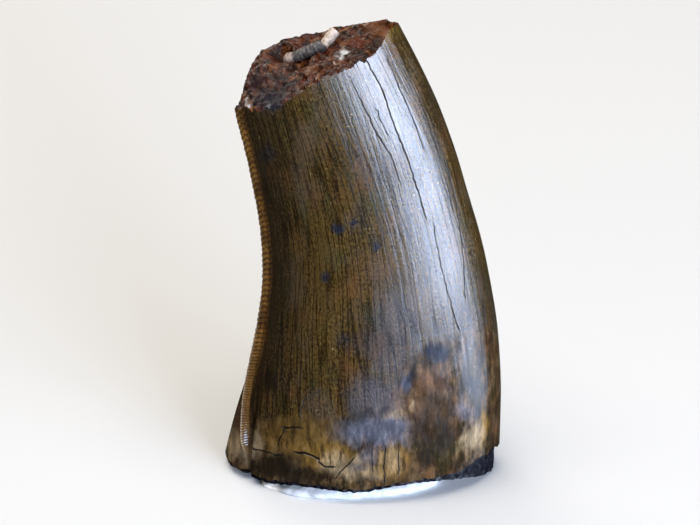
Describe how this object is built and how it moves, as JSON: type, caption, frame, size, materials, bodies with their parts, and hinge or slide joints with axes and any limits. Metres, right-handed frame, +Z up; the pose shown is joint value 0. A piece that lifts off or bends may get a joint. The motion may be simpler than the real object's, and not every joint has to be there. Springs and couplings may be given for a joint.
{
  "type": "daspletosaurus tooth",
  "caption": "Broken, curved fossil tooth crown with a saw-edged keel, glossy brown enamel and a rough broken tip, standing on a thin pad of white putty.",
  "frame": {"origin": "on the ground, under the middle of the crown's footprint", "axes": "+Z up along the standing crown, +X towards the rounded front edge, -X towards the saw-edged rear keel, -Y towards the outer face that the picture shows"},
  "size_m": [0.023, 0.0146, 0.0403],
  "materials": {
    "tooth": "glossy brown fossil enamel, rough on the broken ends",
    "lodged_splinter": "matt cream and grey, banded",
    "putty_pad": "matt white putty"
  },
  "bodies": {
    "root": {"tooth": "tooth", "lodged_splinter": "lodged_splinter", "putty_pad": "putty_pad"}
  },
  "joints": []
}
